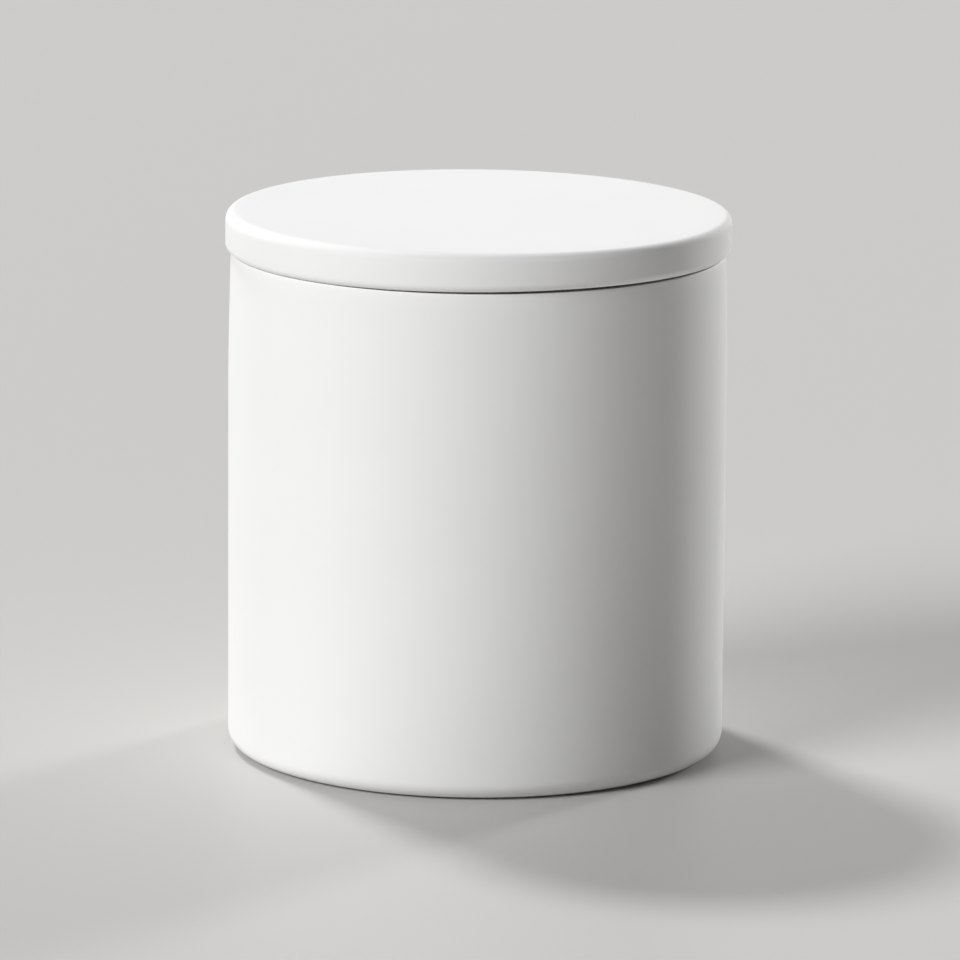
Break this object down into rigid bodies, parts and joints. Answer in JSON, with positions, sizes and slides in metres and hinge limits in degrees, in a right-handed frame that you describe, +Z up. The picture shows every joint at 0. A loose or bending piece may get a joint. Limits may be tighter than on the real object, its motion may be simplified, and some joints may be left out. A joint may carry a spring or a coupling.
{
  "type": "kitchen canister",
  "caption": "Straight round kitchen canister in matte white glazed stoneware, with a flat overhanging plug lid, a silicone seal round the plug and a recessed foot ring.",
  "frame": {"origin": "centre of the foot ring's resting face, on the vessel's axis", "axes": "+Z up along the vessel's axis; the canister is round, so +X and +Y are free, and -Y faces the camera"},
  "size_m": [0.127, 0.127, 0.1373],
  "materials": {
    "vessel_glaze": "matte white glaze on stoneware",
    "lid_glaze": "matte white glaze on stoneware",
    "seal_silicone": "milky white moulded silicone, satin"
  },
  "bodies": {
    "vessel": {"vessel": "vessel_glaze"},
    "lid": {"lid": "lid_glaze", "lid_seal": "seal_silicone"}
  },
  "joints": [
    {"name": "lid_lift", "type": "slide", "parent": "vessel", "child": "lid", "axis": [0, 0, 1], "range_m": [0, 0.1]}
  ]
}
